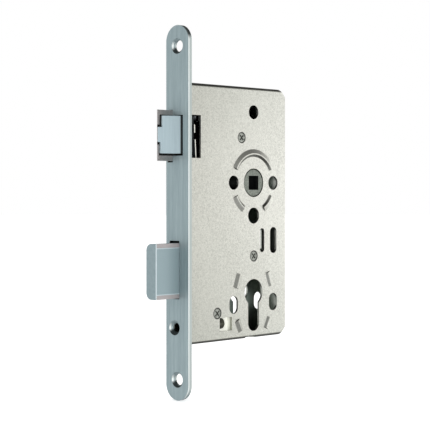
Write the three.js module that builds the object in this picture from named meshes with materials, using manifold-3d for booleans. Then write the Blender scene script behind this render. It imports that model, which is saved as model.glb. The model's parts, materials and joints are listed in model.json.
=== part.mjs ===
// Mortise lock for a profile cylinder: a latch bolt worked by a square spindle, and a one-turn deadbolt.
// Frame: +Z up. The origin is the centre line of the forend's front face, at spindle height.
// The forend's front face looks along -Y, the case runs back along +Y, and X is the thickness of the door.
// Millimetres.
import * as THREE from "three";
import { mergeVertices } from "three/addons/utils/BufferGeometryUtils.js";
import Module from "manifold-3d";

const wasm = await Module();
wasm.setup();

// ---- Driving dimensions ----
const FOREND = { width: 20, thick: 3, top: 98.5, bottom: -136.5, screwInset: 13 };
const CASE = {
  midX: -2.5,
  thick: 15,
  sheet: 1.5,
  front: 3.1,
  back: 96.2,
  top: 62.8,
  bottom: -102,
  corner: 5, // the two cut rear corners
};
const SPINDLE = { y: 65, hole: 18.8, square: 9.2 };
const ROSE = { spread: 19, radius: 4.6 };
const CYLINDER = { y: 65, z: -72, radius: 8.65, width: 10.6, bottom: -97.5 };
const CYLINDER_SCREW = { z: -91.2, headRadius: 4.7, radius: 2.9 };
const LATCH = { out: 13, travel: 13, z: 29.7 };
const BOLT = { out: 20, travel: 20, top: -38, bottom: -72.5, farX: -6.8, nearX: 1.7 };
const POSTS = { upper: [53.6, 29.4], middle: [65.2, -48.2], lower: [30.9, -83.8] };
const POST_RADIUS = 3;
const TUMBLER = { pivot: [36.5, -33], stump: [56, -36.9], drop: 3.3 };
const GAP = 0.1; // between pieces that rest on each other
const PLAY = 0.3; // between pieces that slide past each other
const FIT = 0.08; // radial clearance of a turning pin or collar

const CASE_FAR = CASE.midX - CASE.thick / 2;
const CASE_NEAR = CASE.midX + CASE.thick / 2;
const INNER_FAR = CASE_FAR + CASE.sheet;
const INNER_NEAR = CASE_NEAR - CASE.sheet;
const CYLINDER_END_RADIUS = CYLINDER.width / 2;

// ---- Materials ----
function finish(color, roughness, metalness) {
  return new THREE.MeshStandardMaterial({ color, roughness, metalness });
}

const SATIN_STEEL = finish(0x95a4a7, 0.35, 1);
const CASE_SHEET = finish(0xd3d3c9, 0.5, 0.7);
const BRIGHT_NICKEL = finish(0xaabdc3, 0.25, 1);
const SINTERED_STEEL = finish(0x7c7f7f, 0.55, 0.8);
const NATURAL_NYLON = finish(0xf1f2e6, 0.5, 0);
const ZINC_STEEL = finish(0xb9bbb2, 0.45, 0.9);
const CAST_ZINC = finish(0x8b918a, 0.5, 0.8);
const SPRING_STEEL = finish(0x6e7274, 0.3, 1);

// ---- Solids: three.js geometry in, manifold solid out ----
function solid(geometry) {
  const bare = geometry.clone();
  for (const extra of ["normal", "uv"]) bare.deleteAttribute(extra);
  const merged = mergeVertices(bare, 1e-4);
  return new wasm.Manifold(
    new wasm.Mesh({
      numProp: 3,
      vertProperties: new Float32Array(merged.attributes.position.array),
      triVerts: new Uint32Array(merged.index.array),
    }),
  );
}

function extrude(shape, depth, basis, origin, curveSegments) {
  const geometry = new THREE.ExtrudeGeometry(shape, { depth, bevelEnabled: false, curveSegments });
  const matrix = new THREE.Matrix4().makeBasis(...basis.map((v) => new THREE.Vector3(...v)));
  matrix.setPosition(...origin);
  return solid(geometry.applyMatrix4(matrix));
}

// A plate whose outline is drawn in (Y, Z), from x0 to x1.
const plateX = (shape, x0, x1, segments = 12) =>
  extrude(shape, x1 - x0, [[0, 1, 0], [0, 0, 1], [1, 0, 0]], [x0, 0, 0], segments);
// A plate whose outline is drawn in (X, Z), from y0 to y1.
const plateY = (shape, y0, y1, segments = 12) =>
  extrude(shape, y1 - y0, [[1, 0, 0], [0, 0, 1], [0, -1, 0]], [0, y1, 0], segments);
// A plate whose outline is drawn in (X, Y), from z0 to z1.
const plateZ = (shape, z0, z1, segments = 12) =>
  extrude(shape, z1 - z0, [[1, 0, 0], [0, 1, 0], [0, 0, 1]], [0, 0, z0], segments);

function box(x, y, z) {
  const geometry = new THREE.BoxGeometry(x[1] - x[0], y[1] - y[0], z[1] - z[0]);
  return solid(geometry.translate((x[0] + x[1]) / 2, (y[0] + y[1]) / 2, (z[0] + z[1]) / 2));
}

// A rod or cone along X, centred on (y, z), with radius r0 at x0 and r1 at x1.
function rodX([y, z], r0, x0, x1, r1 = r0, sides = 32) {
  const geometry = new THREE.CylinderGeometry(r1, r0, x1 - x0, sides);
  return solid(geometry.rotateZ(-Math.PI / 2).translate((x0 + x1) / 2, y, z));
}

// A rod or cone along Y, centred on (x, z), with radius r0 at y0 and r1 at y1.
function rodY([x, z], r0, y0, y1, r1 = r0, sides = 32) {
  const geometry = new THREE.CylinderGeometry(r1, r0, y1 - y0, sides);
  return solid(geometry.translate(x, (y0 + y1) / 2, z));
}

const join = (...solids) => solids.reduce((all, next) => all.add(next));
const cut = (body, ...tools) => tools.reduce((all, tool) => all.subtract(tool), body);

// ---- Outlines ----
function polygon(points) {
  const shape = new THREE.Shape();
  points.forEach(([a, b], i) => (i ? shape.lineTo(a, b) : shape.moveTo(a, b)));
  shape.closePath();
  return shape;
}

const rectangle = (a0, a1, b0, b1) => polygon([[a0, b0], [a1, b0], [a1, b1], [a0, b1]]);

function circle(a, b, radius) {
  return slot([a, b], [a, b], radius);
}

// A slot with round ends between two centres.
function slot([a0, b0], [a1, b1], radius) {
  const along = Math.atan2(b1 - b0, a1 - a0);
  const shape = new THREE.Shape();
  shape.absarc(a1, b1, radius, along - Math.PI / 2, along + Math.PI / 2, false);
  shape.absarc(a0, b0, radius, along + Math.PI / 2, along + 1.5 * Math.PI, false);
  shape.closePath();
  return shape;
}

// A band of an arc, from angle start to end in degrees, with square ends.
function arcBand(a, b, radius, width, start, end) {
  const from = THREE.MathUtils.degToRad(start);
  const to = THREE.MathUtils.degToRad(end);
  const shape = new THREE.Shape();
  shape.absarc(a, b, radius + width / 2, from, to, false);
  shape.absarc(a, b, radius - width / 2, to, from, true);
  shape.closePath();
  return shape;
}

// The profile cylinder's keyhole outline: a round head with a narrower round-ended body below it.
function cylinderOutline() {
  const meet = Math.asin(CYLINDER_END_RADIUS / CYLINDER.radius);
  const low = CYLINDER.bottom + CYLINDER_END_RADIUS;
  const shape = new THREE.Shape();
  shape.absarc(CYLINDER.y, CYLINDER.z, CYLINDER.radius, meet - Math.PI / 2, 1.5 * Math.PI - meet, false);
  shape.absarc(CYLINDER.y, low, CYLINDER_END_RADIUS, Math.PI, 2 * Math.PI, false);
  shape.closePath();
  return shape;
}

// ---- Coil springs ----
class Helix extends THREE.Curve {
  constructor(radius, length, turns) {
    super();
    Object.assign(this, { radius, length, turns });
  }
  getPoint(t) {
    const angle = 2 * Math.PI * this.turns * t;
    return new THREE.Vector3(this.radius * Math.cos(angle), this.radius * Math.sin(angle), this.length * t);
  }
}

// A compression spring along axis "y" or "z", from start to end, centred on the other two coordinates.
function coil(axis, centre, start, end, { outer, wire, turns }) {
  const helix = new Helix(outer / 2 - wire / 2, end - start - wire, turns);
  const section = new THREE.Shape().absarc(0, 0, wire / 2, 0, 2 * Math.PI, false);
  const geometry = new THREE.ExtrudeGeometry(section, {
    steps: Math.round(turns * 14),
    extrudePath: helix,
    curveSegments: 3,
  });
  if (axis === "y") geometry.rotateX(-Math.PI / 2).translate(centre[0], start + wire / 2, centre[1]);
  else geometry.translate(centre[0], centre[1], start + wire / 2);
  return solid(geometry);
}

// ---- The forend: a round-ended plate with five openings ----
const SCREW_HEAD = 5;
const SCREW_HOLE = 3.7;
const SCREW_HOLES = [FOREND.top - FOREND.screwInset, FOREND.bottom + FOREND.screwInset];
const LATCH_MOUTH = { farX: -8.9, midX: -4.2, nearX: 5.05, top: 42.1, bottom: 16.7 };
const TALL_MOUTH = { top: 45.55, bottom: 12.6 }; // its taller part, which the latch's plate comes out of
const RIVET_HOLE_START = 1; // blind holes for the tab rivets run from here to the forend's back

function makeForend() {
  const r = FOREND.width / 2;
  const plate = plateY(slot([0, FOREND.bottom + r], [0, FOREND.top - r], r), 0, FOREND.thick, 16);
  const past = 1;
  const countersink = (x, z, head, hole) => [
    rodY([x, z], hole, -past, FOREND.thick + past),
    rodY([x, z], head + past, -past, head - hole, hole),
  ];
  const mouth = (x0, x1, z0, z1) => box([x0, x1], [-past, FOREND.thick + past], [z0, z1]);
  return cut(
    plate,
    ...SCREW_HOLES.flatMap((z) => countersink(0, z, SCREW_HEAD, SCREW_HOLE)),
    ...countersink(CASE.midX, CYLINDER_SCREW.z, CYLINDER_SCREW.headRadius, CYLINDER_SCREW.radius),
    mouth(LATCH_MOUTH.farX, LATCH_MOUTH.midX, TALL_MOUTH.bottom, TALL_MOUTH.top),
    mouth(LATCH_MOUTH.midX - past, LATCH_MOUTH.nearX, LATCH_MOUTH.bottom, LATCH_MOUTH.top),
    mouth(BOLT.farX - PLAY, BOLT.nearX + 0.15, BOLT.bottom - 0.6, BOLT.top + 1.4),
    ...TAB_RIVETS.map((z) => tabRivetHole(z, RIVET_HOLE_START)),
  );
}

// ---- The case: a tray with top, bottom and back walls, and a cover with lips ----
const LATCH_WINDOW = { back: 15.9, top: 42.5, bottom: 15.4 };
const SCREW_WINDOW = { front: 33, back: 44.3, bottom: -95.5, top: -86.9 };

// Openings that go through both sides of the case, as outlines in (Y, Z).
function sideOpenings() {
  const tall = (y, z, width, height) => {
    const reach = (height - width) / 2;
    return slot([y, z - reach], [y, z + reach], width / 2);
  };
  return [
    circle(SPINDLE.y - ROSE.spread, 0, ROSE.radius),
    circle(SPINDLE.y + ROSE.spread, 0, ROSE.radius),
    circle(SPINDLE.y, 46.4, ROSE.radius),
    circle(SPINDLE.y, -21.6, 5.3),
    tall(73.2, -38, 4.4, 15.9),
    tall(84.3, -38.2, 6.4, 17.4),
    tall(SPINDLE.y - ROSE.spread, -79.3, 8, 11.5),
    tall(SPINDLE.y + ROSE.spread, -79.3, 8, 11.5),
    cylinderOutline(),
    rectangle(SCREW_WINDOW.front, SCREW_WINDOW.back, SCREW_WINDOW.bottom, SCREW_WINDOW.top),
    rectangle(CASE.front - 1, LATCH_WINDOW.back, LATCH_WINDOW.bottom, LATCH_WINDOW.top),
  ];
}

// The side outline of the case with its two cut rear corners, shrunk by inset at top and bottom and by
// backInset at the back. It starts at front.
function caseOutline(inset, backInset, front = CASE.front) {
  const { back, top, bottom, corner } = CASE;
  return polygon([
    [front, bottom + inset],
    [back - backInset - corner, bottom + inset],
    [back - backInset, bottom + inset + corner],
    [back - backInset, top - inset - corner],
    [back - backInset - corner, top - inset],
    [front, top - inset],
  ]);
}

const throughSides = (x0, x1) => [
  ...sideOpenings().map((outline) => plateX(outline, x0, x1, 10)),
  rodX([SPINDLE.y, 0], SPINDLE.hole / 2, x0, x1, undefined, 64),
];

const LIP = 5; // how far the cover's lips reach over the tray's top and bottom walls
const BEND = 2.4; // outer radius of the cover's bent edges
// Stiffening beads pressed out of the cover, with a long slope away from the spindle or the cylinder.
const BEAD = { height: 0.95, long: 2.7, flat: 0.7, short: 1.6 };
const BEAD_ROOT = 0.3; // how deep in the sheet a bead starts
const ARC_BEAD_RADIUS = 17.1; // to the foot of the short slope
const ARC_BEADS = [[28, 152], [207.4, 240], [300, 332.6]];
const BAR_BEADS = [
  [[-13.9, -59.4], [-17.1, -68.3]],
  [[-15.7, -89.6], [-12.2, -96.6]],
];

function arcBead(from, to) {
  const { height, long, flat, short } = BEAD;
  const [low, high] = [CASE_NEAR - BEAD_ROOT, CASE_NEAR + height + 1];
  const reach = ARC_BEAD_RADIUS + short + flat + long;
  const at = [SPINDLE.y, 0];
  const outerCone = rodX(at, reach + (BEAD_ROOT * long) / height, low, high - 1, reach - long, 96);
  const innerRadius = (x) => ARC_BEAD_RADIUS + ((x - CASE_NEAR) * short) / height;
  const innerCone = rodX(at, innerRadius(low - 1), low - 1, high, innerRadius(high), 96);
  const sector = arcBand(...at, reach, 2 * reach - 1, from, to);
  return cut(outerCone, innerCone).intersect(plateX(sector, low, high, 10));
}

function barBead([a0, b0], [a1, b1]) {
  const { height, long, flat, short } = BEAD;
  const length = Math.hypot(a1 - a0, b1 - b0);
  const [u, v] = [(a1 - a0) / length, (b1 - b0) / length];
  const half = (long + flat + short) / 2;
  const section = polygon([
    [-half, -BEAD_ROOT],
    [half, -BEAD_ROOT],
    [half, 0],
    [half - short, height],
    [half - short - flat, height],
    [-half, 0],
  ]);
  return extrude(section, length, [[0, -v, u], [1, 0, 0], [0, u, v]], [CASE_NEAR, a0, b0]);
}

function coverBeads() {
  const arcs = ARC_BEADS.map(([from, to]) => arcBead(from, to));
  const bars = BAR_BEADS.flatMap((ends) => {
    const left = ends.map(([y, z]) => [CYLINDER.y + y, z]);
    const right = ends.map(([y, z]) => [CYLINDER.y - y, z]).reverse();
    return [barBead(...left), barBead(...right)];
  });
  return [...arcs, ...bars];
}

function makeCover() {
  const lipEnd = INNER_NEAR - LIP;
  const { top, bottom, front, back, sheet } = CASE;
  const profile = new THREE.Shape();
  profile.moveTo(lipEnd, top);
  profile.lineTo(lipEnd, top - sheet);
  profile.lineTo(INNER_NEAR, top - sheet);
  profile.lineTo(INNER_NEAR, bottom + sheet);
  profile.lineTo(lipEnd, bottom + sheet);
  profile.lineTo(lipEnd, bottom);
  profile.absarc(CASE_NEAR - BEND, bottom + BEND, BEND, -Math.PI / 2, 0, false);
  profile.absarc(CASE_NEAR - BEND, top - BEND, BEND, 0, Math.PI / 2, false);
  profile.closePath();
  const channel = plateY(profile, front, back, 4);
  const corners = plateX(caseOutline(0, 0), lipEnd - 1, CASE_NEAR + 1);
  const notch = box([lipEnd - 1, CASE_NEAR + 1], [58, 66.5], [bottom - 1, bottom + 0.9]);
  const screwSeats = Object.values(POSTS).map((at) =>
    rodX(at, COVER_SCREW.shank + 0.6, INNER_NEAR - 0.1, CASE_NEAR + 0.1, COVER_SCREW.head + 0.35, 24),
  );
  return cut(
    channel.intersect(corners).add(join(...coverBeads())),
    ...throughSides(INNER_NEAR - 1, CASE_NEAR + 2),
    ...screwSeats,
    notch,
  );
}

const TAB_RIVETS = [53, -81];
const TAB_RIVET_RADIUS = 1.5;

function tabRivetHole(z, start) {
  return rodY([CASE.midX, z], TAB_RIVET_RADIUS + GAP, start, CASE.front + CASE.sheet + 1, undefined, 16);
}

function makeTray() {
  const inset = CASE.sheet + PLAY;
  const wall = inset + CASE.sheet;
  const wallTop = INNER_NEAR - GAP;
  const outer = plateX(caseOutline(inset, 0.3), CASE_FAR, wallTop);
  const inner = plateX(caseOutline(wall, 0.3 + CASE.sheet, CASE.front - 1), INNER_FAR, wallTop + 1);
  const tabDepth = [CASE.front, CASE.front + CASE.sheet];
  const tab = (z0, z1) => box([INNER_FAR - 0.1, wallTop - 1], tabDepth, [z0, z1]);
  const tabs = join(tab(48, CASE.top - wall + 0.1), tab(-86, -76));
  const floor = [CASE_FAR - 1, INNER_FAR + 1];
  const postHoles = Object.values(POSTS).map((at) => rodX(at, POST_TENON + PLAY, ...floor));
  const pinHoles = TRAY_PINS.map(([at, r]) => rodX(at, r + GAP, ...floor, undefined, 16));
  return cut(
    join(cut(outer, inner), tabs),
    ...throughSides(...floor),
    ...postHoles,
    ...pinHoles,
    ...TAB_RIVETS.map((z) => tabRivetHole(z, 0)),
  );
}

// Rivets that hold the tray's two front tabs to the back of the forend.
const makeTabRivet = (z) =>
  join(
    rodY([CASE.midX, z], TAB_RIVET_RADIUS, 1.1, 4.8, undefined, 16),
    rodY([CASE.midX, z], 2.3, 4.7, 5.6, 1.6, 16),
  );

// ---- Posts, and the cover screws that go into them ----
const POST_TENON = 2;
const COVER_SCREW = { head: 3, shank: 1.6, length: 9 };

const makePost = (at) =>
  cut(
    join(
      rodX(at, POST_RADIUS, INNER_FAR + GAP / 2, INNER_NEAR - GAP),
      rodX(at, POST_TENON, CASE_FAR, INNER_FAR + 1),
    ),
    rodX(at, COVER_SCREW.shank + GAP, CASE_NEAR - COVER_SCREW.length - 0.5, INNER_NEAR + 1, undefined, 20),
  );

function makeCoverScrew([y, z]) {
  const top = CASE_NEAR - 0.2;
  const headDepth = 1.1;
  const arm = 1.3; // half the recess's reach along Y and along Z
  const stroke = (side) => slot([y - arm, z - side * arm], [y + arm, z + side * arm], 0.45);
  const recess = (side) => plateX(stroke(side), top - 0.9, top + 1, 3);
  return cut(
    join(
      rodX([y, z], COVER_SCREW.shank, top - COVER_SCREW.length, top - 0.5, undefined, 20),
      rodX([y, z], COVER_SCREW.shank + 0.35, top - headDepth, top, COVER_SCREW.head, 24),
    ),
    recess(1),
    recess(-1),
  );
}

// ---- The latch bolt: a wedge on a body whose tail runs back past the spindle ----
const LATCH_PLATE = { farX: -8.4, nearX: -4.2, top: 45.25, bottom: 13.5, back: 15 };
const WEDGE = { nearX: 3.7, corner: -0.4, waistX: 0.8, top: 41.5, bottom: 18, back: 13.8 };
const STOP_LIP = { nearX: 3.2, thick: 0.8 };
const STOP_LIPS = [[[11.7, 36.6], [11.8, 31.4]], [[12.3, 27.2], [13, 15.2]]]; // front edges, top end first
const NOSE = { top: 34.4, bottom: 25, frontAbove: -10.5, frontBelow: -11.2 };
const TAIL = { farX: -4.6, nearX: -0.4, top: 37, bottom: 24.6, back: 75.2 };
const LATCH_SPRING = { x: -3.7, z: 41.5, outer: 6.8, wire: 0.9, turns: 10 };

function makeLatchBody() {
  const p = LATCH_PLATE;
  const plate = plateZ(
    polygon([
      [p.farX, -LATCH.out + p.nearX - p.farX],
      [p.nearX - 0.4, -LATCH.out],
      [p.nearX, -LATCH.out],
      [p.nearX, p.back],
      [p.farX, p.back],
    ]),
    p.bottom,
    p.top,
  );
  const link = box([p.farX, TAIL.nearX], [WEDGE.back + PLAY, p.back], [TAIL.bottom - 2, p.top - 0.5]);
  const bar = box([TAIL.farX, TAIL.nearX], [p.back - 1, TAIL.back], [TAIL.bottom, TAIL.top]);
  const lug = box([TAIL.farX, TAIL.nearX], [SPINDLE.y + 4.2, TAIL.back], [14.8, TAIL.bottom + 1]);
  const [postY, postZ] = POSTS.upper;
  const clear = POST_RADIUS + 0.25;
  const track = slot([postY - LATCH.travel, postZ], [postY, postZ], clear);
  const guide = plateX(track, TAIL.farX - 1, TAIL.nearX + 1, 8);
  const nose = rodY([LATCH_SPRING.x, LATCH_SPRING.z], 1.9, p.back - 1, p.back + 7, 1.5, 16);
  const rivet = rodX([7, LATCH.z], 2 + GAP, p.farX - 1, p.nearX + 1, undefined, 20);
  const notch = (z0, z1) => box([p.nearX - 0.8, p.nearX + 1], [-LATCH.out - 1, -LATCH.out + 1.8], [z0, z1]);
  const notches = [notch(NOSE.top, NOSE.top + 1.4), notch(NOSE.bottom - 1.4, NOSE.bottom)];
  return cut(join(plate, link, bar, lug, nose), guide, rivet, ...notches);
}

// The wedge: a bevelled block whose nose reaches the latch's tip only at mid height. Behind the forend it
// is cut back, and carries two thin lips that stop the latch against the forend.
function makeLatchWedge() {
  const x0 = LATCH_PLATE.nearX + GAP;
  const land = 2.8; // where the part that stands out of the forend ends
  const block = plateZ(
    polygon([
      [x0, -LATCH.out],
      [x0 + 0.5, -LATCH.out],
      [WEDGE.nearX, WEDGE.corner],
      [WEDGE.nearX, land],
      [WEDGE.waistX, land],
      [WEDGE.waistX, WEDGE.back],
      [x0, WEDGE.back],
    ]),
    WEDGE.bottom,
    WEDGE.top,
  );
  const lip = ([[y0, z0], [y1, z1]]) => {
    const { thick, nearX } = STOP_LIP;
    return plateX(polygon([[y1, z1], [y1 + thick, z1], [y0 + thick, z0], [y0, z0]]), x0, nearX);
  };
  const nick = (z0, z1, y) => box([x0 - 1, WEDGE.nearX], [-LATCH.out - 1, y], [z0, z1]);
  return cut(
    join(block, ...STOP_LIPS.map(lip)),
    nick(NOSE.top, WEDGE.top + 1, NOSE.frontAbove),
    nick(WEDGE.bottom - 1, NOSE.bottom, NOSE.frontBelow),
    rodX([7, LATCH.z], 2 + GAP, x0 - 1, x0 + 6, undefined, 20),
  );
}

const makeLatchRivet = () =>
  rodX([7, LATCH.z], 2, LATCH_PLATE.farX + GAP, WEDGE.waistX - GAP, undefined, 20);

const makeLatchSpring = () =>
  coil("y", [LATCH_SPRING.x, LATCH_SPRING.z], LATCH_PLATE.back + GAP, 45.4, LATCH_SPRING);

const SEAT_TENON = 1.2;

// A riveted block that a spring along Y pushes against: a nose inside the spring, and a pin into the tray.
function springSeat(x, z, height, y0, y1, noseEnd) {
  const noseSpan = [Math.min(noseEnd, y0 + 0.5), Math.max(noseEnd, y1 - 0.5)];
  return join(
    box([INNER_FAR + GAP, x + 3], [y0, y1], [z - height / 2, z + height / 2]),
    rodY([x, z], noseEnd < y0 ? 1.5 : 1.9, ...noseSpan, undefined, 16),
    rodX([(y0 + y1) / 2, z], SEAT_TENON, CASE_FAR, INNER_FAR + 1, undefined, 16),
  );
}

const LATCH_SEAT = { y0: 45.5, y1: 48.5 };
const makeLatchSpringSeat = () =>
  springSeat(LATCH_SPRING.x, LATCH_SPRING.z, 7.5, LATCH_SEAT.y0, LATCH_SEAT.y1, 40);

// ---- The follower: a square-holed hub with one arm for the latch and one for its spring ----
const ARM = { radius: 20.3, tip: 3.5 };
const SPRING_ARM = { radius: 14.5, tip: 2.4, angle: 250 };
const FOLLOWER_SPRING = { x: -2.5, z: -11.5, outer: 6, wire: 0.9, turns: 8 };

function makeFollower() {
  const at = [SPINDLE.y, 0];
  const collar = SPINDLE.hole / 2 - FIT;
  const arm = plateX(slot(at, [SPINDLE.y, ARM.radius], ARM.tip), TAIL.farX + 0.2, TAIL.nearX - 0.2, 8);
  const angle = THREE.MathUtils.degToRad(SPRING_ARM.angle);
  const springTip = [
    SPINDLE.y + SPRING_ARM.radius * Math.cos(angle),
    SPRING_ARM.radius * Math.sin(angle),
  ];
  const springArm = plateX(slot(at, springTip, SPRING_ARM.tip), TAIL.farX + 0.2, TAIL.nearX - 0.2, 8);
  const half = SPINDLE.square / 2;
  return cut(
    join(
      rodX(at, collar, CASE_FAR + 0.1, CASE_NEAR - 0.9, undefined, 64),
      rodX(at, collar, CASE_NEAR - 0.9, CASE_NEAR - 0.1, collar - 0.8, 64),
      rodX(at, 11.6, INNER_FAR + 2, INNER_NEAR - 2, undefined, 48),
      arm,
      springArm,
    ),
    box([CASE_FAR - 1, CASE_NEAR + 1], [SPINDLE.y - half, SPINDLE.y + half], [-half, half]),
  );
}

const FOLLOWER_SEAT = { y0: 28.5, y1: 31.5 };
const makeFollowerSpring = () =>
  coil("y", [FOLLOWER_SPRING.x, FOLLOWER_SPRING.z], FOLLOWER_SEAT.y1 + GAP, 57.2, FOLLOWER_SPRING);
const makeFollowerSpringSeat = () =>
  springSeat(FOLLOWER_SPRING.x, FOLLOWER_SPRING.z, 8, FOLLOWER_SEAT.y0, FOLLOWER_SEAT.y1, 38);

// ---- The deadbolt: a head, and a tail with a guide slot, a drive notch and two locking notches ----
const BOLT_TAIL = { farX: -4.4, nearX: -1.2, front: 8.4, back: 72, top: -39.2, bottom: -55.5, deep: -61 };
const NECK = { back: 22, top: -43 }; // the part of the tail that sits in the head
const HEAD_BACK = 20;
const BOLT_RIVETS = [[13.5, -47.5], [13.5, -56]];
const BOLT_RIVET_RADIUS = 1.8;
const STEP = { height: 2.6, depth: 0.2 };

function makeBoltHead() {
  const { farX, nearX, top, bottom, out } = BOLT;
  const round = 4.2;
  const outline = new THREE.Shape();
  outline.moveTo(nearX, bottom);
  outline.lineTo(nearX, top);
  outline.absarc(farX + round, top - round, round, Math.PI / 2, Math.PI, false);
  outline.absarc(farX + round, bottom + round, round, Math.PI, 1.5 * Math.PI, false);
  outline.closePath();
  const cap = 0.8;
  const step = (z0, z1) => box([nearX - STEP.depth, nearX + 1], [-out + cap, HEAD_BACK + 1], [z0, z1]);
  const tailSlot = box(
    [BOLT_TAIL.farX - GAP, BOLT_TAIL.nearX + GAP],
    [BOLT_TAIL.front - GAP, HEAD_BACK + 1],
    [BOLT_TAIL.deep - 1, NECK.top + 1],
  );
  return cut(
    plateY(outline, -out, HEAD_BACK, 6),
    step(top - STEP.height, top + 1),
    step(bottom - 1, bottom + STEP.height),
    tailSlot,
    ...BOLT_RIVETS.map((at) => rodX(at, BOLT_RIVET_RADIUS + GAP, farX - 1, nearX + 1, undefined, 16)),
  );
}

function makeBoltTail() {
  const t = BOLT_TAIL;
  const driveY = CYLINDER.y - BOLT.travel / 2; // middle of the notch that the cylinder's cam works in
  const plate = polygon([
    [t.front, t.deep],
    [driveY - 4.5, t.deep],
    [driveY - 3.2, t.bottom],
    [driveY + 3.2, t.bottom],
    [driveY + 4.5, t.deep],
    [driveY + 9, t.deep],
    [driveY + 11, t.bottom],
    [t.back, t.bottom],
    [t.back, t.top],
    [NECK.back, t.top],
    [NECK.back, NECK.top],
    [t.front, NECK.top],
  ]);
  const notchY = TUMBLER.stump[0] - 0.5;
  const lockNotch = (y) => rectangle(y - 2.85, y + 2.85, t.top - TUMBLER.drop - PLAY, t.top + 1);
  const [postY, postZ] = POSTS.middle;
  const guide = slot([postY - BOLT.travel, postZ], [postY, postZ], POST_RADIUS + PLAY);
  const through = (outline) => plateX(outline, t.farX - 1, t.nearX + 1, 8);
  return cut(
    plateX(plate, t.farX, t.nearX),
    through(lockNotch(notchY)),
    through(lockNotch(notchY - BOLT.travel)),
    through(guide),
    ...BOLT_RIVETS.map((at) => rodX(at, BOLT_RIVET_RADIUS + GAP, t.farX - 1, t.nearX + 1, undefined, 16)),
  );
}

const makeBoltRivet = (at) =>
  rodX(at, BOLT_RIVET_RADIUS, BOLT.farX + GAP, BOLT.nearX - GAP, undefined, 16);

// ---- The tumbler: its stump drops into the deadbolt tail's notches, and the cylinder's cam lifts it ----
const TUMBLER_PLATE = { farX: 0.4, nearX: 2.4 };
const PIVOT_RADIUS = 1.8;
const STUMP_RADIUS = 2;
const TUMBLER_REST = -31.9; // height of the flat that the spring pushes on
const TUMBLER_SPRING = { x: 1.4, y: 46, bottom: -31.8, top: -19.2, outer: 3.8, wire: 0.6, turns: 6 };
const SPRING_PIN = { at: [46, -17.2], radius: 1.9 };

function makeTumbler() {
  const [pivotY, pivotZ] = TUMBLER.pivot;
  const outline = polygon([
    [pivotY + 1, pivotZ - 3.5],
    [46.5, -37.2],
    [49.5, -50],
    [53, -56.5],
    [60, -56.5],
    [61, -53],
    [60, -36.5],
    [57.5, -33],
    [49, TUMBLER_REST - 0.6],
    [48.4, TUMBLER_REST],
    [43.6, TUMBLER_REST],
    [43, TUMBLER_REST - 0.6],
    [pivotY + 1, pivotZ + 3.5],
  ]);
  const plate = (shape) => plateX(shape, TUMBLER_PLATE.farX, TUMBLER_PLATE.nearX, 8);
  const hole = (at, radius) => rodX(at, radius, TUMBLER_PLATE.farX - 1, TUMBLER_PLATE.nearX + 1);
  return cut(
    join(plate(outline), plate(circle(pivotY, pivotZ, 4))),
    hole(TUMBLER.pivot, PIVOT_RADIUS + FIT),
    hole(TUMBLER.stump, STUMP_RADIUS + GAP),
  );
}

const makeTumblerStump = () =>
  rodX(TUMBLER.stump, STUMP_RADIUS, BOLT_TAIL.farX - 0.2, TUMBLER_PLATE.nearX);

const makeTumblerPivot = () =>
  join(
    rodX(TUMBLER.pivot, PIVOT_RADIUS, CASE_FAR, INNER_NEAR - GAP),
    rodX(TUMBLER.pivot, 2.6, INNER_FAR + GAP, TUMBLER_PLATE.farX - PLAY),
  );

function makeTumblerSpring() {
  const { x, y, bottom, top } = TUMBLER_SPRING;
  return coil("z", [x, y], bottom, top, TUMBLER_SPRING);
}

const makeTumblerSpringPin = () =>
  join(
    rodX(SPRING_PIN.at, SPRING_PIN.radius, INNER_FAR + GAP, INNER_NEAR - GAP, undefined, 20),
    rodX(SPRING_PIN.at, SEAT_TENON, CASE_FAR, INNER_FAR + 1, undefined, 16),
  );

// Pins with a tenon through the tray's floor, and each tenon's radius.
const TRAY_PINS = [
  [TUMBLER.pivot, PIVOT_RADIUS],
  [SPRING_PIN.at, SEAT_TENON],
  [[(LATCH_SEAT.y0 + LATCH_SEAT.y1) / 2, LATCH_SPRING.z], SEAT_TENON],
  [[(FOLLOWER_SEAT.y0 + FOLLOWER_SEAT.y1) / 2, FOLLOWER_SPRING.z], SEAT_TENON],
];

// ---- The sleeve and the block that guide the cylinder's fixing screw ----
const SLEEVE = { radius: 3.7, back: 41.5 };
const GUIDE = { back: 50.5, top: -86.3, bottom: -96.5, nearX: 3.3 };

const makeScrewSleeve = () =>
  cut(
    rodY([CASE.midX, CYLINDER_SCREW.z], SLEEVE.radius, FOREND.thick + GAP, SLEEVE.back),
    rodY([CASE.midX, CYLINDER_SCREW.z], CYLINDER_SCREW.radius, FOREND.thick - 1, SLEEVE.back + 1),
  );

const makeScrewGuide = () =>
  cut(
    box([INNER_FAR + GAP, GUIDE.nearX], [SLEEVE.back + PLAY, GUIDE.back], [GUIDE.bottom, GUIDE.top]),
    rodY([CASE.midX, CYLINDER_SCREW.z], CYLINDER_SCREW.radius + 0.2, SLEEVE.back - 1, GUIDE.back + 1),
  );

// ---- The assembly ----
const lock = new THREE.Group();

function add(name, body, material) {
  const { numProp, vertProperties, triVerts } = body.getMesh();
  const positions = new Float32Array((vertProperties.length / numProp) * 3);
  for (let i = 0; i < positions.length / 3; i++) {
    positions.set(vertProperties.subarray(i * numProp, i * numProp + 3), i * 3);
  }
  const geometry = new THREE.BufferGeometry();
  geometry.setAttribute("position", new THREE.BufferAttribute(positions, 3));
  geometry.setIndex(new THREE.BufferAttribute(triVerts, 1));
  geometry.computeVertexNormals();
  const mesh = new THREE.Mesh(geometry, material);
  mesh.name = name;
  lock.add(mesh);
}

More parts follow.
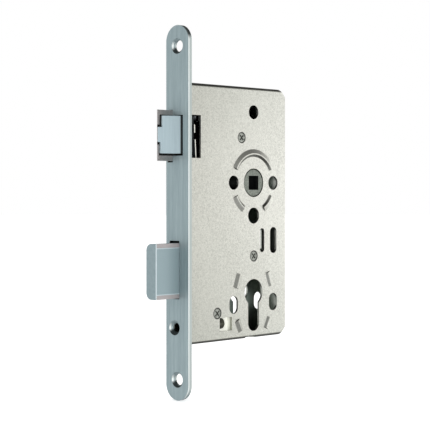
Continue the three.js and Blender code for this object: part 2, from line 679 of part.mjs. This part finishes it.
add("forend", makeForend(), SATIN_STEEL);
add("case_tray", makeTray(), CASE_SHEET);
add("case_cover", makeCover(), CASE_SHEET);
for (const [place, at] of Object.entries(POSTS)) {
  add(`post_${place}`, makePost(at), ZINC_STEEL);
  add(`cover_screw_${place}`, makeCoverScrew(at), ZINC_STEEL);
}
add("forend_rivet_upper", makeTabRivet(TAB_RIVETS[0]), ZINC_STEEL);
add("forend_rivet_lower", makeTabRivet(TAB_RIVETS[1]), ZINC_STEEL);
add("cylinder_screw_sleeve", makeScrewSleeve(), ZINC_STEEL);
add("cylinder_screw_guide", makeScrewGuide(), NATURAL_NYLON);
add("latch_body", makeLatchBody(), SINTERED_STEEL);
add("latch_wedge", makeLatchWedge(), BRIGHT_NICKEL);
add("latch_rivet", makeLatchRivet(), ZINC_STEEL);
add("latch_spring", makeLatchSpring(), SPRING_STEEL);
add("latch_spring_seat", makeLatchSpringSeat(), ZINC_STEEL);
add("follower", makeFollower(), CAST_ZINC);
add("follower_spring", makeFollowerSpring(), SPRING_STEEL);
add("follower_spring_seat", makeFollowerSpringSeat(), ZINC_STEEL);
add("deadbolt_head", makeBoltHead(), BRIGHT_NICKEL);
add("deadbolt_tail", makeBoltTail(), ZINC_STEEL);
add("deadbolt_rivet_upper", makeBoltRivet(BOLT_RIVETS[0]), ZINC_STEEL);
add("deadbolt_rivet_lower", makeBoltRivet(BOLT_RIVETS[1]), ZINC_STEEL);
add("tumbler", makeTumbler(), ZINC_STEEL);
add("tumbler_stump", makeTumblerStump(), ZINC_STEEL);
add("tumbler_pivot", makeTumblerPivot(), ZINC_STEEL);
add("tumbler_spring", makeTumblerSpring(), SPRING_STEEL);
add("tumbler_spring_pin", makeTumblerSpringPin(), ZINC_STEEL);

export default lock;
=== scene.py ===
import json
import math

import bpy
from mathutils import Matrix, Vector


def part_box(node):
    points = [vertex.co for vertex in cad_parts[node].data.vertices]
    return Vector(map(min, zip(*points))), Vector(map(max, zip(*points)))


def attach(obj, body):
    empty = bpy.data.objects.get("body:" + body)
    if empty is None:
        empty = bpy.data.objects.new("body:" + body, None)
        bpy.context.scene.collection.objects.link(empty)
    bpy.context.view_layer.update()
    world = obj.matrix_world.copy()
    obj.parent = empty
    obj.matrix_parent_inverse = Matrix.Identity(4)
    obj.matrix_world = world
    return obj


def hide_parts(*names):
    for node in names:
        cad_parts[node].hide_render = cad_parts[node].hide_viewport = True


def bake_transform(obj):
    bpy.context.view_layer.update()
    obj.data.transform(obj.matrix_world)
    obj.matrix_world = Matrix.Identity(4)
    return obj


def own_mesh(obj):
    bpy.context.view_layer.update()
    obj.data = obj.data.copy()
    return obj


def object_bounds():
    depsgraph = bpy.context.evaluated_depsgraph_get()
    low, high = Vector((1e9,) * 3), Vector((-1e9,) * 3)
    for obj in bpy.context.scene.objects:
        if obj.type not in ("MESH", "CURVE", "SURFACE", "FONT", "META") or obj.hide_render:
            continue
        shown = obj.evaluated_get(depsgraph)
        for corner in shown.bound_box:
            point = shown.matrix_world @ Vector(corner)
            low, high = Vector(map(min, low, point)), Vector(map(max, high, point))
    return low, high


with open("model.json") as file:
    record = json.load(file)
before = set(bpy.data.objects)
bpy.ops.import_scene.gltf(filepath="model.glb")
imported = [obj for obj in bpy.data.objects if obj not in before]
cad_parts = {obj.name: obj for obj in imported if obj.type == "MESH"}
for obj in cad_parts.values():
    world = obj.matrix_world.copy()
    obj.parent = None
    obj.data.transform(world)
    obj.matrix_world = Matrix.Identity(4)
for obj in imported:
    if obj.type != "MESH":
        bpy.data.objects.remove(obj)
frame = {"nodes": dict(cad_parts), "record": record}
cad_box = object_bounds()
nodes = frame["nodes"]
scene = bpy.context.scene
MM = 0.001
X, Y, Z = range(3)


# ---- Node trees ----
def srgb(r, g, b, alpha=1.0):
    """A linear colour from 0-255 values."""

    def channel(value):
        c = value / 255
        return c / 12.92 if c <= 0.04045 else ((c + 0.055) / 1.055) ** 2.4

    return (channel(r), channel(g), channel(b), alpha)


class Nodes:
    """A material's or the world's node tree, with short calls for the nodes used here."""

    def __init__(self, owner, coords="Object"):
        owner.use_nodes = True
        self.owner = owner
        self.tree = owner.node_tree
        self.source = self.tree.nodes.new("ShaderNodeTexCoord").outputs
        self.coords = self.source[coords]

    def node(self, kind, inputs=None, **settings):
        made = self.tree.nodes.new(kind)
        for key, value in settings.items():
            setattr(made, key, value)
        for key, value in (inputs or {}).items():
            self.put(value, made.inputs[key])
        return made

    def put(self, value, socket):
        if isinstance(value, bpy.types.NodeSocket):
            self.tree.links.new(value, socket)
        else:
            socket.default_value = value

    def stretched(self, stretch):
        mapping = self.node("ShaderNodeMapping", {"Vector": self.coords})
        mapping.inputs["Scale"].default_value = stretch
        return mapping.outputs["Vector"]

    def noise(self, scale, stretch=(1, 1, 1), detail=2.0, rough=0.5):
        vector = self.stretched(stretch)
        inputs = {"Vector": vector, "Scale": scale, "Detail": detail, "Roughness": rough}
        return self.node("ShaderNodeTexNoise", inputs).outputs["Fac"]

    def span(self, value, low, high, to_low=0.0, to_high=1.0):
        inputs = {"Value": value, "From Min": low, "From Max": high}
        inputs.update({"To Min": to_low, "To Max": to_high})
        return self.node("ShaderNodeMapRange", inputs).outputs["Result"]

    def ramp(self, value, *stops):
        made = self.node("ShaderNodeValToRGB", {"Fac": value})
        elements = made.color_ramp.elements
        while len(elements) < len(stops):
            elements.new(0.5)
        for element, (position, colour) in zip(elements, stops):
            element.position = position
            element.color = colour
        return made.outputs["Color"]

    def mix(self, factor, a, b, mode="MIX"):
        made = self.node("ShaderNodeMix", data_type="RGBA", blend_type=mode)
        self.put(factor, made.inputs["Factor"])
        self.put(a, made.inputs["A"])
        self.put(b, made.inputs["B"])
        return made.outputs["Result"]

    def paint(self, base, mask, colour, share=1.0):
        """The base colour with that share of a colour laid over it, where the mask is one."""
        return self.mix(self.times(mask, share), base, colour)

    def math(self, operation, *values):
        return self.node("ShaderNodeMath", dict(enumerate(values)), operation=operation).outputs[0]

    def add(self, a, b):
        return self.math("ADD", a, b)

    def times(self, a, b):
        return self.math("MULTIPLY", a, b)

    def compare(self, operation, vector, other):
        """The dot product of two vectors, or the distance between two points."""
        made = self.node("ShaderNodeVectorMath", {0: vector, 1: other}, operation=operation)
        return made.outputs["Value"]

    def axes(self, vector):
        return self.node("ShaderNodeSeparateXYZ", {"Vector": vector}).outputs

    def within(self, value, low, high, soft=0.05 * MM):
        """One between low and high, with edges soft metres wide, zero outside."""
        rise = self.span(value, low - soft, low + soft)
        return self.times(rise, self.span(value, high - soft, high + soft, 1.0, 0.0))

    def inside_box(self, *spans):
        """One inside a box given as (low, high) spans along X, Y and Z, any of them None."""
        parts = zip(self.axes(self.coords), spans)
        masks = [self.within(value, *span) for value, span in parts if span]
        result = masks[0]
        for mask in masks[1:]:
            result = self.times(result, mask)
        return result

    def near(self, point, radius, soft=0.1 * MM):
        """One within that radius of a point, zero outside."""
        distance = self.compare("DISTANCE", self.coords, point)
        return self.span(distance, radius - soft, radius + soft, 1.0, 0.0)

    def facing(self, axis, tight=0.75, full=0.97):
        """One where the surface looks along that axis of the object, either way."""
        part = self.math("ABSOLUTE", self.axes(self.source["Normal"])[axis])
        return self.span(part, tight, full)

    def tilted(self, direction, tight, full):
        """One where the surface tilts that way by full or more, zero below tight. Both are sines."""
        return self.span(self.compare("DOT_PRODUCT", self.source["Normal"], direction), tight, full)

    def bump(self, height, distance, strength=1.0):
        inputs = {"Height": height, "Distance": distance, "Strength": strength}
        return self.node("ShaderNodeBump", inputs).outputs["Normal"]

    def edges(self, tight=0.52, wide=0.6):
        """One on convex edges and corners, zero elsewhere."""
        pointed = self.node("ShaderNodeNewGeometry").outputs["Pointiness"]
        return self.span(pointed, tight, wide)

    def finish(self, metallic=1.0, **sockets):
        shader = self.tree.nodes["Principled BSDF"]
        shader.inputs["Metallic"].default_value = metallic
        for key, value in sockets.items():
            self.put(value, shader.inputs[key.replace("_", " ")])
        return self.owner


def material(name):
    return Nodes(bpy.data.materials.new(name))


def mm(low, high):
    """A span given in millimetres."""
    return (low * MM, high * MM)


# ---- Materials ----
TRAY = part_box("case_tray")
FAR_X, BACK_Y = TRAY[0].x, TRAY[1].y
SPINDLE_Y = 65 * MM
SHEET = 1.5 * MM
STREAK = 0.035  # how slowly brush lines change lengthways
SCREWS = ("cover_screw_upper", "cover_screw_middle", "cover_screw_lower")


def brush_lines(m, along, fine=2600, broad=420):
    """Fine and broad streaks along one axis."""
    stretch = [1.0, 1.0, 1.0]
    stretch[along] = STREAK
    narrow = m.times(m.noise(fine, stretch, 3.0, 0.6), 0.5)
    wide = m.times(m.noise(broad, stretch, 2.0), 0.5)
    return m.add(narrow, wide)


def satin_steel():
    """The forend: brushed lengthways, with ground sides painted lighter as if lit, a painted highlight
    along their front edge, and painted shade on its rounded top and inside its mouths.
    """
    m = material("satin_steel")
    y = m.axes(m.coords)[Y]
    half_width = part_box("forend")[1].x
    dark, light = srgb(130, 146, 150), srgb(159, 175, 178)
    clouded, side, side_edge_highlight = srgb(128, 146, 150), srgb(186, 195, 193), srgb(240, 246, 244)
    shade, depth = srgb(24, 32, 32), srgb(20, 21, 21)

    lines = brush_lines(m, Z)
    base = m.ramp(lines, (0.3, dark), (0.7, light))
    cloud = m.span(m.noise(28, (1, 1, 1), 3.0), 0.35, 0.7, 0.0, 0.16)
    base = m.mix(cloud, base, clouded)
    # painted light: the ground sides are painted lighter than the front, as if lit from the side
    base = m.paint(base, m.facing(X), side, 0.9)
    near_front = m.within(y, *mm(-0.1, 0.9))
    # painted highlight: a bright line on the sides along the front edge
    base = m.paint(base, m.times(m.facing(X, 0.5, 0.7), near_front), side_edge_highlight, 0.9)
    # painted shade on the rounded top, where the surface turns upward
    shaded_round_top = m.times(m.tilted((0, 0, 1), 0.15, 0.4), m.tilted((0, 0, -1), -0.98, -0.9))
    base = m.paint(base, shaded_round_top, shade, 0.9)
    # painted shade inside the mouths of the forend
    inner = half_width - 0.7 * MM
    mouths = m.inside_box((-inner, inner), mm(0.35, 2.9), mm(-80, 60))
    base = m.paint(base, mouths, depth, 0.9)
    return m.finish(
        metallic=0.55,
        Base_Color=base,
        Roughness=m.span(lines, 0.3, 0.7, 0.5, 0.38),
        Normal=m.bump(lines, 0.012 * MM, 0.8),
    )


def case_sheet():
    """Zinc-coated sheet: a fine speckled grain and faint clouds outside, with painted shade inside."""
    m = material("case_sheet")
    y, z = m.axes(m.coords)[Y], m.axes(m.coords)[Z]
    dark, middle, light = srgb(196, 197, 189), srgb(226, 226, 218), srgb(240, 240, 232)
    slope_shade, bend_shade, inside_shade = srgb(150, 156, 146), srgb(66, 68, 62), srgb(112, 124, 118)
    depth, seat_gap_shade = srgb(30, 33, 30), srgb(44, 46, 42)
    tone_front, tone_ends = srgb(228, 228, 226), srgb(234, 235, 234)

    grain = m.noise(1500, (1, 1, 1), 3.0, 0.62)
    speck = m.noise(560, (1, 1, 1), 2.0, 0.5)
    cloud = m.noise(22, (1, 1, 0.7), 3.0)
    base = m.ramp(grain, (0.3, dark), (0.5, middle), (0.68, light))
    base = m.mix(m.span(speck, 0.52, 0.7, 0.0, 0.35), base, dark)
    base = m.mix(m.span(cloud, 0.35, 0.7, 0.0, 0.25), base, light)

    # painted shade on the bead slopes that face the front and up
    shaded_bead_slopes = m.tilted((0, -0.8, 0.6), 0.05, 0.2)
    base = m.paint(base, shaded_bead_slopes, slope_shade, 0.2)
    # painted shade on the top and bottom bends, where the sheet turns away from the flat face
    turned, flat = m.facing(Z, 0.2, 0.4), m.facing(Z, 0.93, 0.98)
    shaded_bends = m.times(turned, m.add(1.0, m.times(flat, -1.0)))
    base = m.paint(base, shaded_bends, bend_shade, 0.85)

    middle_z = -5 * MM
    ends = m.span(m.math("ABSOLUTE", m.add(z, -middle_z)), 20 * MM, 100 * MM)
    base = m.mix(ends, base, tone_ends, "MULTIPLY")
    front = m.span(y, 5 * MM, BACK_Y, 1.0, 0.0)
    base = m.mix(front, base, tone_front, "MULTIPLY")

    low, high = TRAY
    margin = 0.1 * MM
    heights = (low.z + margin, high.z - margin)
    floor_x = FAR_X + SHEET - 2 * margin
    wall_y = BACK_Y - SHEET - margin
    # painted shade on the inside of the case
    inside = m.inside_box((floor_x, high.x), (0, wall_y), heights)
    base = m.paint(base, inside, inside_shade, 0.95)
    # painted shade on the back wall behind the slot
    shaded_behind_slot = m.inside_box((floor_x, high.x), (wall_y, BACK_Y - 4 * margin), mm(-52, -24))
    base = m.paint(base, shaded_behind_slot, depth, 0.93)

    # painted shade: a dark ring round each screw seat, where the countersink gap is
    seat_radius = 3.75 * MM
    for screw in SCREWS:
        low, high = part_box(screw)
        centre = (high.x, (low.y + high.y) / 2, (low.z + high.z) / 2)
        base = m.paint(base, m.near(centre, seat_radius), seat_gap_shade, 0.85)
    return m.finish(
        Base_Color=base,
        Roughness=m.span(grain, 0.3, 0.7, 0.46, 0.34),
        Normal=m.bump(m.add(grain, m.times(speck, 0.6)), 0.02 * MM, 0.7),
    )


def plated(name, colour, light, roughness, grain=900, depth=0.01, dark=None):
    """Plated or sintered metal with an even grain and painted highlights on its edges. dark gives masks
    where shade is painted.
    """
    m = material(name)
    painted_shade_colour = srgb(12, 14, 13)
    fine = m.noise(grain, (1, 1, 1), 3.0, 0.6)
    cloud = m.noise(60, (1, 1, 1), 2.0)
    base = m.ramp(fine, (0.32, colour), (0.7, light))
    # painted highlight on convex edges and corners
    base = m.mix(m.edges(), base, light)
    # painted shade in the places the dark masks give
    for mask in dark(m) if dark else ():
        base = m.paint(base, mask, painted_shade_colour, 0.95)
    rough = m.span(fine, 0.3, 0.7, roughness + 0.05, roughness - 0.04)
    return m.finish(
        Base_Color=base,
        Roughness=m.add(rough, m.span(cloud, 0.3, 0.7, 0.03, -0.03)),
        Normal=m.bump(fine, depth * MM, 0.8),
    )


def bright_nickel(name, along, colour, light, roughness):
    """Faintly brushed bolt nickel: its nodes, the colour so far, and the call that finishes it."""
    m = material(name)
    lines = brush_lines(m, along)
    base = m.ramp(lines, (0.3, colour), (0.7, light))

    def finish(base):
        return m.finish(
            metallic=0.2,
            Base_Color=base,
            Roughness=m.span(lines, 0.3, 0.7, roughness + 0.05, roughness - 0.04),
            Normal=m.bump(lines, 0.006 * MM, 0.8),
        )

    return m, base, finish


def head_nickel():
    """The deadbolt's head, whose sides are painted lighter as if lit, with a warmer, duller strip along
    the top and the bottom, and painted highlight lines at the strips and along the front edge.
    """
    m, base, finish = bright_nickel(
        "bright_nickel", Y, srgb(123, 140, 145), srgb(138, 155, 159), roughness=0.44
    )
    low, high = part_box("deadbolt_head")
    y, z = m.axes(m.coords)[Y], m.axes(m.coords)[Z]
    lit_side_colour, strip_colour = srgb(147, 166, 171), srgb(174, 169, 169)
    line_highlight_colour = srgb(206, 219, 223)
    strip, line = 2.6 * MM, 0.6 * MM

    side = m.facing(X)
    # painted light: the sides are lighter, as if lit
    base = m.mix(side, base, lit_side_colour)
    for strip_top, line_low in ((high.z, high.z - strip - line), (low.z + strip, low.z + strip)):
        in_strip = m.times(m.within(z, strip_top - strip, strip_top), side)
        base = m.mix(in_strip, base, strip_colour)
        # painted highlight lines along the strips' edges
        base = m.paint(base, m.times(m.within(z, line_low, line_low + line), side), line_highlight_colour, 0.7)
    # painted highlight along the front edge of the sides
    front_edge_highlight = m.times(m.within(y, low.y - MM, low.y + 0.9 * MM), side)
    return finish(m.mix(front_edge_highlight, base, line_highlight_colour))


def wedge_nickel():
    """The latch's wedge, bright where it comes out of the forend, with painted shade behind the forend,
    on its land and in the gap at its nose, and painted highlights on its lips.
    """
    m, base, finish = bright_nickel(
        "wedge_nickel", Z, srgb(160, 179, 186), srgb(178, 196, 202), roughness=0.4
    )
    low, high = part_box("latch_wedge")
    back = high.y + MM
    depth, lip_highlight_colour = srgb(10, 12, 12), srgb(236, 236, 226)

    # painted shade behind the forend, on the land and in the gap at the nose
    shaded_behind_forend = m.inside_box((low.x, 3.1 * MM), (2.9 * MM, back), None)
    shaded_land = m.inside_box(mm(3.55, 4), mm(-0.65, 3), None)
    nose_gap_shade = m.inside_box((low.x, -3.1 * MM), mm(-10.7, -10.3), (34.5 * MM, high.z))
    for mask in (shaded_behind_forend, shaded_land, nose_gap_shade):
        base = m.paint(base, mask, depth, 0.95)
    # painted highlight on the lips
    lip_highlights = m.inside_box(mm(3.1, 4), (8 * MM, back), None)
    return finish(m.mix(lip_highlights, base, lip_highlight_colour))


def plate_shade_round_wedge(m):
    """Painted shade on the latch's plate: in its notches, in the gaps round the wedge, and on its tail
    inside the case.
    """
    near_face, notch_depth = mm(-4.5, -4.1), mm(-5.2, -4.1)
    notch_length = mm(-13.1, -11.1)
    above_wedge = m.inside_box(near_face, mm(-11, 4), mm(41.4, 42.2))
    above_nose = m.inside_box(near_face, mm(-10.85, -10.4), mm(34.4, 42.2))
    below_wedge = m.inside_box(near_face, mm(-11.8, 4), mm(16.7, 18.1))
    upper_notch = m.inside_box(notch_depth, notch_length, mm(34.3, 35.9))
    lower_notch = m.inside_box(notch_depth, notch_length, mm(23.5, 25.1))
    in_the_case = m.inside_box(None, mm(3.2, 60), None)
    return [above_wedge, above_nose, below_wedge, upper_notch, lower_notch, in_the_case]


def follower_painted_shade(m):
    """Painted shade on the follower: in the spindle's hole, and on what stays inside the case."""
    half = 4.66 * MM
    hole = m.inside_box(None, (SPINDLE_Y - half, SPINDLE_Y + half), (-half, half))
    in_the_case = m.inside_box(mm(-8.4, 2.6), (0, BACK_Y), None)
    return [hole, in_the_case]


def natural_nylon():
    """The screw guide: pale, with a painted glow (emission) on the faces along Y."""
    m = material("nylon")
    dark, light, painted_glow = srgb(226, 228, 212), srgb(244, 245, 234), srgb(246, 247, 236)
    fine = m.noise(700, (1, 1, 1), 2.0)
    return m.finish(
        metallic=0.0,
        Base_Color=m.ramp(fine, (0.3, dark), (0.7, light)),
        Roughness=m.span(fine, 0.3, 0.7, 0.55, 0.45),
        Emission_Color=painted_glow,
        # painted light: emission makes the faces along Y glow
        Emission_Strength=m.times(m.facing(Y), 0.75),
        Normal=m.bump(fine, 0.01 * MM, 0.5),
    )


MATERIALS = {
    "satin_steel": satin_steel(),
    "case_sheet": case_sheet(),
    "bright_nickel": head_nickel(),
    "sintered_steel": plated(
        "sintered_steel",
        srgb(184, 178, 176),
        srgb(204, 198, 196),
        roughness=0.5,
        grain=1400,
        depth=0.02,
        dark=plate_shade_round_wedge,
    ),
    "zinc_steel": plated("zinc_steel", srgb(126, 130, 123), srgb(174, 177, 169), roughness=0.42),
    "cast_zinc": plated(
        "cast_zinc",
        srgb(124, 130, 122),
        srgb(162, 167, 158),
        roughness=0.5,
        grain=1100,
        depth=0.02,
        dark=follower_painted_shade,
    ),
    "spring_steel": plated("spring_steel", srgb(112, 117, 120), srgb(160, 165, 168), roughness=0.3),
    "nylon": natural_nylon(),
}
WEDGE_NICKEL = wedge_nickel()
# a darker copy of the plated steel, with shade painted in, for pieces inside the case
SHADED_INNER_ZINC = plated("shaded_inner_zinc", srgb(48, 50, 45), srgb(88, 89, 80), roughness=0.42)
SLOT = {part["node"]: part["material_slot"] for part in frame["record"]["subparts"]}


def material_of(name):
    """A piece's material: its slot's, except on the wedge, and on plated steel inside the case, which
    gets a darker copy with shade painted in.
    """
    if name == "latch_wedge":
        return WEDGE_NICKEL
    if SLOT[name] == "zinc_steel" and name not in SCREWS:
        return SHADED_INNER_ZINC
    return MATERIALS[SLOT[name]]


# ---- CAD pieces: welded, with rounded edges and their slot's material ----
EDGE = {  # widths of the rounded edges, in millimetres
    "forend": 0.4,
    "case_cover": 0.35,
    "latch_wedge": 0.35,
    "latch_body": 0.4,
    "deadbolt_head": 0.5,
    "follower": 0.3,
}
OTHER_EDGE = 0.15
LEAST_ANGLE = {"case_cover": 15.5}  # in degrees, between two faces whose edge is rounded
OTHER_ANGLE = 35
WELD_DISTANCE = 0.002 * MM
for name, node in nodes.items():
    node.data.materials.clear()
    node.data.materials.append(material_of(name))
    node.data.polygons.foreach_set("use_smooth", [True] * len(node.data.polygons))
    weld = node.modifiers.new("weld", "WELD")
    weld.merge_threshold = WELD_DISTANCE
    bevel = node.modifiers.new("bevel", "BEVEL")
    bevel.width = EDGE.get(name, OTHER_EDGE) * MM
    bevel.segments = 3
    bevel.limit_method = "ANGLE"
    bevel.angle_limit = math.radians(LEAST_ANGLE.get(name, OTHER_ANGLE))
    normals = node.modifiers.new("normals", "WEIGHTED_NORMAL")  # keeps the shading of flat faces flat
    normals.mode = "FACE_AREA"
    normals.weight = 100


# ---- Springs: round wire with closed ends ----
COIL_STEPS = 28  # points in each turn
CLOSED_PITCH = 1.02  # of a closed turn, in wire thicknesses
THICK_WIRE = 0.9 * MM
THIN_WIRE = 0.6 * MM
THIN_OUTER = 3.8 * MM


def coil(name, start, end, outer, wire, turns):
    """A compression spring as a mesh, its first and last turns wound close. Lengths are in metres."""
    start, end = Vector(start), Vector(end)
    axis = (end - start).normalized()
    side = axis.orthogonal().normalized()
    other = axis.cross(side)
    length = (end - start).length - wire
    radius = (outer - wire) / 2
    closed = wire * CLOSED_PITCH
    curve = bpy.data.curves.new(name, "CURVE")
    curve.dimensions = "3D"
    curve.bevel_depth = wire / 2
    curve.bevel_resolution = 4
    curve.use_fill_caps = True
    spline = curve.splines.new("POLY")
    count = round(turns * COIL_STEPS)
    spline.points.add(count)
    for i in range(count + 1):
        turn = i / COIL_STEPS
        first = min(turn, 1) * closed
        middle = min(max((turn - 1) / (turns - 2), 0), 1) * (length - 2 * closed)
        last = max(turn - turns + 1, 0) * closed
        angle = 2 * math.pi * turn
        place = start + axis * (first + middle + last + wire / 2)
        place += side * (radius * math.cos(angle)) + other * (radius * math.sin(angle))
        spline.points[i].co = (*place, 1)
    piece = bpy.data.objects.new(name, curve)
    scene.collection.objects.link(piece)
    bpy.context.view_layer.update()
    mesh = bpy.data.meshes.new_from_object(piece.evaluated_get(bpy.context.evaluated_depsgraph_get()))
    bpy.data.objects.remove(piece)
    mesh.name = name
    mesh.polygons.foreach_set("use_smooth", [True] * len(mesh.polygons))
    mesh.materials.clear()
    mesh.materials.append(MATERIALS["spring_steel"])
    solid = bpy.data.objects.new(name, mesh)
    scene.collection.objects.link(solid)
    return solid


def spring_line(node, axis):
    """The two ends of the CAD spring's centre line."""
    low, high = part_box(node)
    start = (low + high) / 2
    end = start.copy()
    start[axis] = low[axis]
    end[axis] = high[axis]
    return start, end


def travelling_spring(name, node, joint, turns):
    """A spring along Y that stands in for the CAD spring, attached to the lock case at its full length.
    """
    start, end = spring_line(node, Y)
    low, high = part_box(node)
    piece = coil(name, start, end, high.z - low.z, THICK_WIRE, turns)
    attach(piece, "lock_case")
    seat = end if joint == "latch_slide" else start
    tuple(seat)
    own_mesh(piece)
    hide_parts(node)


travelling_spring("latch_coil", "latch_spring", "latch_slide", turns=11)
travelling_spring("follower_coil", "follower_spring", "follower_turn", turns=9)
tumbler_start, tumbler_end = spring_line("tumbler_spring", Z)
tumbler_coil = coil("tumbler_coil", tumbler_start, tumbler_end, THIN_OUTER, THIN_WIRE, 7)
tuple(tumbler_end)
tuple(tumbler_start)
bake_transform(tumbler_coil)
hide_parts("tumbler_spring")


# ---- Stage ----
def floor_white():
    m = material("floor_white")
    return m.finish(
        metallic=0.0,
        Base_Color=m.ramp(m.noise(6), (0.3, srgb(250, 250, 250)), (0.7, srgb(255, 255, 255))),
        Roughness=0.9,
        Emission_Color=srgb(255, 255, 255),
        Emission_Strength=0.35,
    )


FLOOR_RADIUS = 6
FLOOR_CENTRE = (0, 0.04, cad_box[0].z - 0.2 * MM)
bpy.ops.mesh.primitive_circle_add(
    vertices=96, radius=FLOOR_RADIUS, fill_type="NGON", location=FLOOR_CENTRE
)
floor = bpy.context.object
floor.name = "floor"
floor.data.materials.append(floor_white())
floor.visible_glossy = False


AMBIENT = 0.3
# What metal mirrors: a direction, the angles from it at which a light starts and is full, in degrees,
# its brightness, and its red and blue as shares of its green. A later light covers an earlier one.
LIGHTS = (
    ((0.31, 0.95, 0), 50, 36, 1.33, 1.0, 1.0),
    ((-0.7, -0.71, 0), 75, 45, 1.04, 0.98, 1.01),
    ((0.935, -0.35, 0), 24, 14, 0.97, 0.98, 1.03),
    ((0.25, -0.97, 0), 34, 20, 1.5, 1.0, 1.0),
    ((0.72, -0.69, 0), 20, 10, 2.2, 1.0, 1.0),
)
# The same above and below, between two heights of the mirrored direction, as sines.
SKY = (0.18, 0.55, 0.2, 1.03, 0.97)
GROUND = (-0.5, -0.9, 0.3, 1.0, 1.0)


def studio():
    """White all round, but metal mirrors a studio: bright at the sides, dim above and below."""
    world = bpy.data.worlds.new("studio")
    scene.world = world
    m = Nodes(world, "Generated")
    world.cycles.sampling_method = "NONE"  # so that metal finds the studio by its own reflections alone
    height = m.axes(m.coords)[Z]

    def grey(value, red=1.0, blue=1.0):
        return (value * red, value, value * blue, 1)

    light = grey(AMBIENT)
    for direction, wide, tight, *colour in LIGHTS:
        dot = m.compare("DOT_PRODUCT", m.coords, Vector(direction).normalized())
        share = m.span(dot, math.cos(math.radians(wide)), math.cos(math.radians(tight)))
        light = m.mix(share, light, grey(*colour))
    for start, full, *colour in (SKY, GROUND):
        light = m.mix(m.span(height, start, full), light, grey(*colour))
    glossy = m.node("ShaderNodeLightPath").outputs["Is Glossy Ray"]
    background = m.tree.nodes["Background"]
    m.put(m.mix(glossy, (1, 1, 1, 1), light), background.inputs["Color"])


studio()
scene.view_settings.view_transform = "Standard"

# ---- Camera ----
camera = bpy.data.objects.new("camera", bpy.data.cameras.new("camera"))
scene.collection.objects.link(camera)
camera.location = Vector((592.98, -571.13, -4.81)) * MM
camera.rotation_euler = (math.radians(90), 0, math.radians(44.43))
camera.data.lens = 110.1
camera.data.sensor_width = 36
camera.data.shift_y = -0.058
camera.data.clip_start = 0.01
camera.data.clip_end = 50
scene.camera = camera

bpy.context.view_layer.update()
